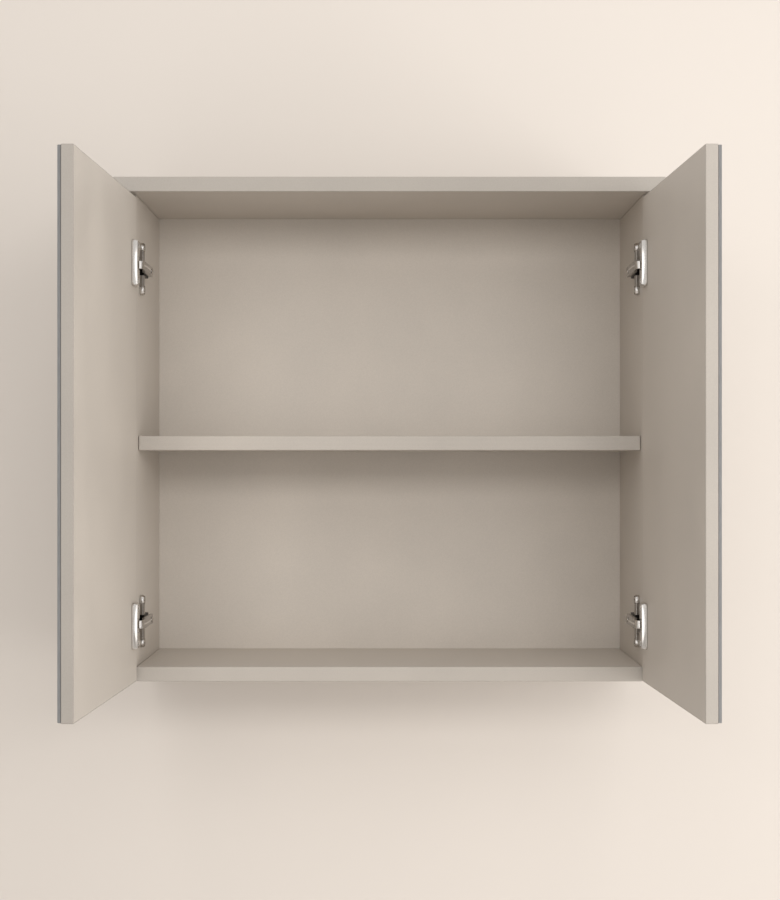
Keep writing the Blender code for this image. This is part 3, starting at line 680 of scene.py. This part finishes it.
def rear_paint():
    """The grey paint that protects the silver."""
    material, tree, shader = new_material("mirror_rear_paint")
    wear = use_group(tree, HANDLING, Place=object_place(tree), Clean=PAINT_CLEAN, Worn=PAINT_WORN,
                     Grain=PAINT_SPECKS)
    feed(tree, shader, {"Base Color": scaled(tree, PAINT_GREY, wear["Tone"]), "Roughness": wear["Roughness"]})
    return material


# %% Mirrors
ARRIS, REAR_ARRIS = 0.0006, 0.00012
GLASS_CORNER = 0.0015


def mirror_mesh(name, low, high):
    """A sheet of glass on a shut door, with its rear at the higher y."""
    outline = rectangle((low.x, low.z), (high.x, high.z), GLASS_CORNER)
    levels = [(inset, high.y - REAR_ARRIS + rise) for inset, rise in reversed(rim(REAR_ARRIS))]
    levels += [(inset, low.y + ARRIS - rise) for inset, rise in rim(ARRIS)]
    return loft(name, [[(x, y, z) for x, z in rounded_outline(outline, inset)] for inset, y in levels])


rear_finish = rear_paint()
for name in SIDES:
    body, node = f"{name}_door", f"door_mirror_{name}"
    low, high = shut_box(node, body)
    mesh = mirror_mesh(f"mirror_{name}", low, high)
    mesh.materials.append(ground_edge(f"ground_glass_edge_{name}", GLASS_EDGE_PAINTED_LIGHT[name]))
    mesh.materials.append(rear_finish)
    mesh.materials.append(silver_front(f"silver_{name}", *door_strip_box(node, body), shut_mapping(body)))
    mesh.polygons[-2].material_index = 1
    mesh.polygons[-1].material_index = 2
    mesh.transform(shut_turns[body].inverted())
    lampless.objects.link(show_piece(f"mirror_{name}", mesh, body, [node]))
    lampless.collection_objects[-1].light_linking.link_state = 'EXCLUDE'
print("mirrors:", [round(v * 1000, 1) for v in high - low], "mm")

# %% [markdown]
# ## Screws
#
# Twenty-four small screws hold the fittings. They all have a domed head with a cross recess and differ
# only in size, so one Geometry Nodes tree makes them all: it turns one screw from its sizes, sets a copy on
# every point it is given, along that point's axis, and turns each by its own angle, because no two
# screws ever stop at the same angle. The tree ends with real geometry, and each group becomes one plain mesh.

# %% Screw tree
HEAD_STEPS, HEAD_RINGS, HEAD_BANDS, SHANK_STEPS = 28, 7, 2, 16
DOME_POWER, DOME_DROP = 3.5, -0.62
SHANK_INSIDE, SHANK_TIP = 0.25, 0.35
RECESS_SPAN, RECESS_WIDTH, RECESS_DEPTH = 1.2, 0.3, 1.1
SCREW_LENGTHS = ("Head Radius", "Head Height", "Shank Radius", "Shank Length")


def screw_tree():
    """Screws on points: the seat is the point, and the head faces along the point's axis."""
    inputs = {"Points": "Geometry", "Seed": "Int", "Finish": "Material"}
    inputs.update(dict.fromkeys(SCREW_LENGTHS, "Float"))
    tree, given, result = new_group("driven_screws", inputs, {"Screws": "Geometry"}, 'GeometryNodeTree')
    radius, height = given["Head Radius"], given["Head Height"]

    def times(first, second):
        return sum_of(tree, 'MULTIPLY', first, second)

    def vector(**axes):
        return add(tree, "ShaderNodeCombineXYZ", axes).outputs[0]

    def moved(shape, offset):
        return add(tree, "GeometryNodeTransform", {"Geometry": shape, "Translation": offset}).outputs[0]

    head = add(tree, "GeometryNodeMeshCylinder", {
        "Vertices": HEAD_STEPS, "Side Segments": HEAD_BANDS, "Fill Segments": HEAD_RINGS,
        "Radius": radius, "Depth": height}).outputs
    flat = vector_sum(tree, 'MULTIPLY', add(tree, "GeometryNodeInputPosition").outputs[0], (1, 1, 0))
    reach = add(tree, "ShaderNodeVectorMath", {0: flat}, operation='LENGTH').outputs["Value"]
    share = sum_of(tree, 'POWER', sum_of(tree, 'DIVIDE', reach, radius), DOME_POWER)
    drop = vector(Z=times(times(share, height), DOME_DROP))
    domed = add(tree, "GeometryNodeSetPosition",
                {"Geometry": head["Mesh"], "Selection": head["Top"], "Offset": drop}).outputs[0]
    seated = moved(domed, vector(Z=times(height, 0.5)))

    shank = add(tree, "GeometryNodeMeshCone", {
        "Vertices": SHANK_STEPS, "Radius Top": given["Shank Radius"],
        "Radius Bottom": times(given["Shank Radius"], SHANK_TIP),
        "Depth": sum_of(tree, 'ADD', given["Shank Length"], times(height, SHANK_INSIDE))}).outputs["Mesh"]
    driven = moved(shank, vector(Z=times(given["Shank Length"], -1.0)))
    whole = add(tree, "GeometryNodeMeshBoolean", operation='UNION', solver='EXACT')
    for part in (seated, driven):
        tree.links.new(part, whole.inputs["Mesh 2"])

    recessed = add(tree, "GeometryNodeMeshBoolean", {"Mesh 1": whole.outputs[0]},
                   operation='DIFFERENCE', solver='EXACT')
    long, short, deep = times(radius, RECESS_SPAN), times(radius, RECESS_WIDTH), times(height, RECESS_DEPTH)
    for across, wide in ((long, short), (short, long)):
        bit = add(tree, "GeometryNodeMeshCube", {"Size": vector(X=across, Y=wide, Z=deep)}).outputs["Mesh"]
        tree.links.new(moved(bit, vector(Z=height)), recessed.inputs["Mesh 2"])

    axis = add(tree, "GeometryNodeInputNamedAttribute", {"Name": "axis"}, data_type='FLOAT_VECTOR').outputs[0]
    aimed = add(tree, "FunctionNodeAlignRotationToVector", {"Vector": axis}, axis='Z').outputs[0]
    set_out = add(tree, "GeometryNodeInstanceOnPoints", {
        "Points": given["Points"], "Instance": recessed.outputs[0], "Rotation": aimed}).outputs[0]
    angle = add(tree, "FunctionNodeRandomValue", {2: 0.0, 3: math.pi / 2, "Seed": given["Seed"]},
                data_type='FLOAT').outputs[1]
    twisted = add(tree, "GeometryNodeRotateInstances", {"Instances": set_out, "Rotation": vector(Z=angle)})
    real = add(tree, "GeometryNodeRealizeInstances", {"Geometry": twisted.outputs[0]}).outputs[0]
    finished = add(tree, "GeometryNodeSetMaterial", {"Geometry": real, "Material": given["Finish"]})
    feed(tree, result, {"Screws": finished.outputs[0]})
    return tree


SCREW_TREE = screw_tree()
print("screw tree:", len(SCREW_TREE.nodes), "nodes")

# %% Screws
SCREW_SIZES = {  # in the order of the screw lengths
    "cup": (0.0028, 0.0010, 0.0014, 0.0125),
    "plate": (0.0042, 0.0022, 0.0022, 0.0125),
    "arm": (0.0028, 0.0014, 0.0015, 0.0065),
    "hanger": (0.0030, 0.0012, 0.0016, 0.0110),
}
SCREW_SEEDS = {"cup": 3, "plate": 7, "arm": 11, "hanger": 13}
REARWARDS = Vector((0, 1, 0))


def seat_of(kind, corners, outward, opening=Matrix()):
    """A screw's seat and its head's axis, from its box. On a door both are turned open."""
    low, high = corners
    _, head_height, _, shank_length = SCREW_SIZES[kind]
    seat = (low + high) / 2 + outward * ((head_height + shank_length) / 2 - head_height)
    return opening @ seat, opening.to_3x3() @ outward


def drive_screws(name, kind, seats, slot, body, variant=0):
    """One mesh of screws. The seats give a point and an axis for each node."""
    mesh = bpy.data.meshes.new(name + "_seats")
    mesh.from_pydata([seat for seat, axis in seats.values()], [], [])
    axes = mesh.attributes.new("axis", 'FLOAT_VECTOR', 'POINT')
    for item, (seat, axis) in zip(axes.data, seats.values()):
        item.vector = axis
    seated = bpy.data.objects.new(name + "_seats", mesh)
    bpy.context.scene.collection.objects.link(seated)
    modifier = seated.modifiers.new("screws", 'NODES')
    modifier.node_group = SCREW_TREE
    values = {"Seed": SCREW_SEEDS[kind] + variant, "Finish": FINISHES[slot]}
    values.update(zip(SCREW_LENGTHS, SCREW_SIZES[kind]))
    for socket in SCREW_TREE.interface.items_tree:
        if socket.name in values:
            modifier[socket.identifier] = values[socket.name]
    graph = bpy.context.evaluated_depsgraph_get()
    made = bpy.data.meshes.new_from_object(seated.evaluated_get(graph))
    bpy.data.objects.remove(seated)
    show_piece(name, made, body, seats)


arm_seats, plate_seats, hanger_seats = {}, {}, {}
for name, side in SIDES.items():
    body, to_middle, cup_seats = f"{name}_door", Vector((-side, 0, 0)), {}
    opening = shut_turns[body].inverted()
    for height in HEIGHTS:
        node = f"arm_screw_{name}_{height}"
        arm_seats[node] = seat_of("arm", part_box(node), to_middle)
        node = f"hanger_screw_{name}_{height}"
        hanger_seats[node] = seat_of("hanger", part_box(node), REARWARDS)
        for end in HEIGHTS:
            node = f"plate_screw_{name}_{height}_{end}"
            plate_seats[node] = seat_of("plate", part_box(node), to_middle)
            node = f"cup_screw_{name}_{height}_{end}"
            cup_seats[node] = seat_of("cup", shut_box(node, body), REARWARDS, opening)
    drive_screws(f"cup_screws_{name}", "cup", cup_seats, "nickel", body, variant=side)
drive_screws("plate_screws", "plate", plate_seats, "nickel", "carcass")
drive_screws("arm_screws", "arm", arm_seats, "nickel", "carcass")
drive_screws("hanger_screws", "hanger", hanger_seats, "zinc", "carcass")
print("screws:", 2 * len(cup_seats) + len(plate_seats) + len(arm_seats) + len(hanger_seats))

# %% [markdown]
# ## Hinges
#
# A cup hinge has three bodies. The cup is pressed into the door and has a flange with two screws. The arm
# is a folded steel channel that bends round into the cup, where the pivot pin holds it. The plate is
# screwed to the side panel, and the arm is clamped on it. All three are pressed or cast, so
# their edges are round. Each is lofted once in plain coordinates, cut with Boolean modifiers and then set in
# four places, turned over where the other side needs it.

# %% Cutting and placing
ROD_STEPS = 24
AXIS_ORDERS = {"x": (2, 0, 1), "y": (0, 2, 1), "z": (0, 1, 2)}


def turned(name, axis, centre, rings, steps):
    """A closed turned shape along an axis, from rings of a radius and a level."""
    turns = [2 * math.pi * step / steps for step in range(steps)]
    lofted = []
    for radius, level in rings:
        ring = [Vector(centre) + radius * Vector((math.cos(turn), math.sin(turn))) for turn in turns]
        lofted.append([tuple((*point, level)[index] for index in AXIS_ORDERS[axis]) for point in ring])
    return loft(name, lofted)


def rod(name, axis, centre, radius, span):
    """A plain round cutter along an axis."""
    return turned(name, axis, centre, [(radius, level) for level in span], ROD_STEPS)


def combined(name, finish, base, *steps):
    """One mesh from a base and (operation, mesh) steps. Meshes without a finish get the given one."""
    for mesh in [base] + [tool for operation, tool in steps]:
        if not mesh.materials:
            mesh.materials.append(finish)
    objects = [bpy.data.objects.new(name, base)]
    for operation, mesh in steps:
        tool = bpy.data.objects.new(name + "_tool", mesh)
        objects.append(tool)
        modifier = objects[0].modifiers.new(operation, 'BOOLEAN')
        modifier.operation = operation
        modifier.solver = 'EXACT'
        modifier.material_mode = 'TRANSFER'
        modifier.object = tool
    for item in objects:
        bpy.context.scene.collection.objects.link(item)
    graph = bpy.context.evaluated_depsgraph_get()
    mesh = bpy.data.meshes.new_from_object(objects[0].evaluated_get(graph))
    for item in objects:
        bpy.data.objects.remove(item)
    return mesh


def set_at_hinges(kind, mesh, origins, on_door=False):
    """A copy of a fitting at each hinge. Origins gives its (x, y) on either side, with the doors shut.

    A mirrored copy gets its faces turned back outwards.
    """
    for name, side in SIDES.items():
        body = f"{name}_door" if on_door else "carcass"
        opening = shut_turns[body].inverted() if on_door else Matrix()
        flip = Matrix.Diagonal((-side, -1 if on_door else 1, 1, 1))
        for height in HEIGHTS:
            node = f"hinge_{kind}_{name}_{height}"
            low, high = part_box(node)
            copy = mesh.copy()
            copy.transform(opening @ (Matrix.Translation((*origins[name], (low.z + high.z) / 2)) @ flip))
            if flip.determinant() < 0:
                copy.flip_normals()
            show_piece(f"{kind}_{name}_{height}", copy, body, [node])
    print(f"hinge {kind}s:", len(mesh.polygons), "faces each")


# %% Hinge cups
# Near edge, far end, half height, radius of the corners, foot, top, radius of the rim, lean, bow
FLANGE = (0.00464, 0.030, 0.025, 0.0035, 0.0003, 0.0024, 0.0007, 0.0, 0.0)
HOUSING = (0.0152, 0.0297, 0.0247, 0.0012, 0.0012, 0.0064, 0.0007, 0.0011, 0.0018)
LEAN_CURVE, LEAN_STEPS, BOW_STEP = 1.7, 6, 0.004
NOTCH_END, NOTCH_HALF, NOTCH_MOUTH, NOTCH_CORNER = 0.025, 0.006, 0.0015, 0.002
# Rings are pairs of a radius and a level, and holes have a radius and a span
CUP_CENTRE, CUP_STEPS = (0.016, 0.0), 48
CUP_RINGS = ((0.0112, 0.0107), (0.0124, 0.0105), (0.0129, 0.0099), (0.0130, 0.0092), (0.0130, -0.0008),
             (0.0121, -0.0008), (0.0121, 0.0093), (0.0118, 0.0098), (0.0108, 0.0101))
CUP_SCREW_PLACE, CUP_SCREW_REACH, SINK_STEPS = 0.02245, 0.019, 28
SINK_RINGS = ((0.0035, -0.0128), (0.0035, -0.0064), (0.0031, -0.0054), (0.0017, -0.0054), (0.0017, 0.0064))
PIN_PLACE, PIN_HOLE = (0.0071814, 0.0082), (0.00105, (-0.013, 0.013))


def divided(points, longest):
    """For each point, the number of steps to the next one so that none is too long."""
    onward = points[1:] + points[:1]
    return [max(1, math.ceil((after - point).length / longest)) for point, after in zip(points, onward)]


def notched_plate(name, edge, end, half, corner, foot, top, rounding, lean, bow):
    """A plate with a rounded rim and a notch for the arm, which opens towards the door's hinge edge.

    Its sides lean in by a distance on their way up, and its far end bows out in the middle.
    """
    corners = [(edge, -half, corner), (end, -half, corner), (end, half, corner), (edge, half, corner),
               (edge, NOTCH_HALF, NOTCH_MOUTH), (NOTCH_END, NOTCH_HALF, NOTCH_CORNER),
               (NOTCH_END, -NOTCH_HALF, NOTCH_CORNER), (edge, -NOTCH_HALF, NOTCH_MOUTH)]
    counts = divided(rounded_outline(corners), BOW_STEP)
    shares = [step / LEAN_STEPS for step in range(LEAN_STEPS)]
    levels = [(lean * share ** LEAN_CURVE, foot + share * (top - rounding - foot)) for share in shares]
    levels += [(lean + inset, top - rounding + rise) for inset, rise in rim(rounding)]
    rings = []
    for inset, level in levels:
        outline = rounded_outline(corners, inset)
        ring = []
        for point, after, count in zip(outline, outline[1:] + outline[:1], counts):
            for step in range(count):
                u, z = point.lerp(after, step / count)
                reach = max(0.0, (u - NOTCH_END) / (end - NOTCH_END))
                ring.append((u - bow * reach * (z / half) ** 2, -level, z))
        rings.append(ring)
    return loft(name, rings)


def hinge_cup():
    """Cup, flange and raised housing; x runs from the door's hinge edge, y into the door, z up."""
    bowl = turned("bowl", "y", CUP_CENTRE, CUP_RINGS, CUP_STEPS)
    steps = [('UNION', notched_plate("housing", *HOUSING)), ('UNION', bowl)]
    for place in (-CUP_SCREW_REACH, CUP_SCREW_REACH):
        steps.append(('DIFFERENCE', turned("sink", "y", (CUP_SCREW_PLACE, place), SINK_RINGS, SINK_STEPS)))
    steps.append(('DIFFERENCE', rod("pin_hole", "z", PIN_PLACE, *PIN_HOLE)))
    return combined("hinge_cup", nickel, notched_plate("flange", *FLANGE), *steps)


set_at_hinges("cup", hinge_cup(), {name: (side * door_high.x, door_high.y) for name, side in SIDES.items()},
              on_door=True)

# %% Hinge arms
ARM_SHEET, SHOULDER, INNER_FOLD = 0.0013, 0.0009, 0.0003
STRIP_HALF, CHANNEL_HALF = 0.0045, 0.0056
STRIP_FOOT, CHANNEL_FOOT = 0.00165, 0.0042
RIDGE_RISE, RIDGE_ROUND = 0.0012, 0.0009
STRIP_FRONT, STRIP_STATIONS = -0.0008, (0.0004, 0.004, 0.008, 0.011)
BEND_CENTRE, BEND_RADIUS, BEND_STEPS = Vector((0.0118186, 0.0042)), 0.0050, 10
KNUCKLE_RINGS = ((0.0013, -STRIP_HALF), (0.0016, -0.0042), (0.0016, 0.0042), (0.0013, STRIP_HALF))
KNUCKLE_STEPS = 28
ARM_REAR, ARM_SCREW_PLACE, ARM_HOLE = 0.0694, 0.0584, (0.0019, (0.010, 0.020))
# Along the web: place, half width, depth of the channel's walls, share of the pressed ridge
WEB = ((0.0070, STRIP_HALF, STRIP_FOOT, 0.0), (0.0120, STRIP_HALF, STRIP_FOOT, 0.4),
       (0.0135, 0.0048, 0.0022, 0.6), (0.0150, 0.0050, 0.0030, 0.8), (0.0165, 0.0053, 0.0038, 0.9),
       (0.0185, CHANNEL_HALF, CHANNEL_FOOT, 1.0), (0.0480, CHANNEL_HALF, CHANNEL_FOOT, 1.0),
       (0.0500, CHANNEL_HALF, CHANNEL_FOOT, 0.7), (0.0520, CHANNEL_HALF, CHANNEL_FOOT, 0.2),
       (0.0535, CHANNEL_HALF, CHANNEL_FOOT, 0.0), (0.0680, CHANNEL_HALF, CHANNEL_FOOT, 0.0),
       (0.0688, 0.0053, 0.0040, 0.0), (ARM_REAR, 0.0049, 0.0036, 0.0))


def arm_section(half, foot, ridge):
    """The channel's section as (across, below the outer face), round its outside and back inside."""
    flat = half - SHOULDER
    shoulder = [(flat + across, below) for below, across in rim(SHOULDER)]
    rise = ridge * RIDGE_RISE
    dip = RIDGE_ROUND / flat
    pressed = [(0.0, -rise * (1 - dip + dip / 3)), (RIDGE_ROUND, -rise * (1 - dip)), (flat / 2, -rise / 2)]
    right = pressed + shoulder + [(half, foot)]
    wall = half - ARM_SHEET
    under = [(wall, foot), (wall, ARM_SHEET + INNER_FOLD), (wall - INNER_FOLD, ARM_SHEET)]
    under += [(v, ARM_SHEET + depth) for v, depth in reversed(pressed)]
    left = [(-v, depth) for v, depth in reversed(right[1:])]
    return left + right + under + [(-v, depth) for v, depth in reversed(under[:-1])]


def arm_strip():
    """The folded sheet, from the pivot round the bend and along the web."""
    web_face = BEND_CENTRE.x + BEND_RADIUS
    plain = (STRIP_HALF, STRIP_FOOT, 0.0)
    stations = [(Vector((x, STRIP_FRONT)), Vector((0, -1)), plain) for x in STRIP_STATIONS]
    for step in range(BEND_STEPS + 1):
        angle = math.pi / 2 * (step / BEND_STEPS - 1)
        away = Vector((math.cos(angle), math.sin(angle)))
        stations.append((BEND_CENTRE + BEND_RADIUS * away, away, plain))
    stations += [(Vector((web_face, y)), Vector((1, 0)), section) for y, *section in WEB]
    rings = []
    for point, away, section in stations:
        rings.append([(*(point - away * below), across) for across, below in arm_section(*section)])
    strip = loft("strip", rings)
    for finish in (nickel, painted_shade_arm, polished):
        strip.materials.append(finish)
    for face in strip.polygons:
        # past the bend the channel takes darker nickel, as painted shade
        if face.center.y > BEND_CENTRE.y:
            # the ridge takes the pale nickel of a painted highlight
            on_crest = face.center.x > web_face and abs(face.center.z) < RIDGE_ROUND
            face.material_index = 2 if on_crest else 1
    return strip


def hinge_arm():
    """Arm about its pivot axis; x runs into the cabinet, y to the rear, z up."""
    curl = turned("curl", "z", (0, 0), KNUCKLE_RINGS, KNUCKLE_STEPS)
    eye = rod("eye", "z", (0, 0), *PIN_HOLE)
    hole = rod("arm_hole", "x", (ARM_SCREW_PLACE, 0), *ARM_HOLE)
    steps = [('UNION', curl), ('DIFFERENCE', eye), ('DIFFERENCE', hole)]
    return combined("hinge_arm", nickel, arm_strip(), *steps)


pivots = {joint["child"]: joint["pos_m"] for joint in frame["joints"]}
set_at_hinges("arm", hinge_arm(), {name: pivots[f"{name}_door"][:2] for name in SIDES})

# %% Mounting plates
WING_PLACE, BOSS_REACH, BOSS_STEPS = 0.028, 0.0235, 40
BLOCKS = {  # start, end, half height, radius of the corners, foot, top, radius of the rim
    "waist": (WING_PLACE - 0.0049, WING_PLACE + 0.0049, BOSS_REACH, 0.001, 0.0003, 0.0049, 0.0014),
    "body": (0.0220, 0.0557, 0.0074, 0.001, 0.0005, 0.0052, 0.0006),
    "rib": (0.024, 0.056, 0.0038, 0.001, 0.0006, 0.0081, 0.0008),
}
BOSS_RINGS = ((0.0058, 0.0003), (0.0058, 0.0022), (0.0057, 0.0031), (0.0055, 0.0038), (0.0052, 0.0045),
              (0.0049, 0.0050), (0.0047, 0.0052))
HEAD_SINK, PLATE_HOLE = (0.0045, (0.0031, 0.0104)), (0.0025, (-0.001, 0.005))
CLAMP_PLACE, CLAMP_HOLE = 0.047, (0.0018, (0.003, 0.010))


def rounded_block(name, start, end, half, corner, foot, top, rounding):
    """A block on the side panel with a rounded rim, from start to end along y and as far up as down."""
    outline = rectangle((start, -half), (end, half), corner)
    levels = [(0.0, foot)] + [(inset, top - rounding + rise) for inset, rise in rim(rounding)]
    return loft(name, [[(s, d, z) for d, z in rounded_outline(outline, inset)] for inset, s in levels])


def mounting_plate():
    """Cross-shaped plate; x runs away from the side panel, y back from the carcass front, z up."""
    waist, body, rib = (rounded_block(name, *sizes) for name, sizes in BLOCKS.items())
    # The waist is painted darker as painted shade, and the body and rib near black as a painted shadow under the
    # arm; the bosses stay satin nickel.
    for block, finish in ((waist, painted_shade_plate), (body, painted_shadow_black), (rib, painted_shadow_black)):
        block.materials.append(finish)
    steps = [('UNION', body), ('UNION', rib)]
    for place in (-BOSS_REACH, BOSS_REACH):
        centre = (WING_PLACE, place)
        steps += [('UNION', turned("boss", "x", centre, BOSS_RINGS, BOSS_STEPS)),
                  ('DIFFERENCE', rod("head_sink", "x", centre, *HEAD_SINK)),
                  ('DIFFERENCE', rod("plate_hole", "x", centre, *PLATE_HOLE))]
    steps.append(('DIFFERENCE', rod("clamp_hole", "x", (CLAMP_PLACE, 0), *CLAMP_HOLE)))
    return combined("mounting_plate", nickel, waist, *steps)


panel_corners = {}
for name, side in SIDES.items():
    low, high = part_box(f"side_panel_{name}")
    panel_corners[name] = (low.x if side > 0 else high.x, low.y)
set_at_hinges("plate", mounting_plate(), panel_corners)
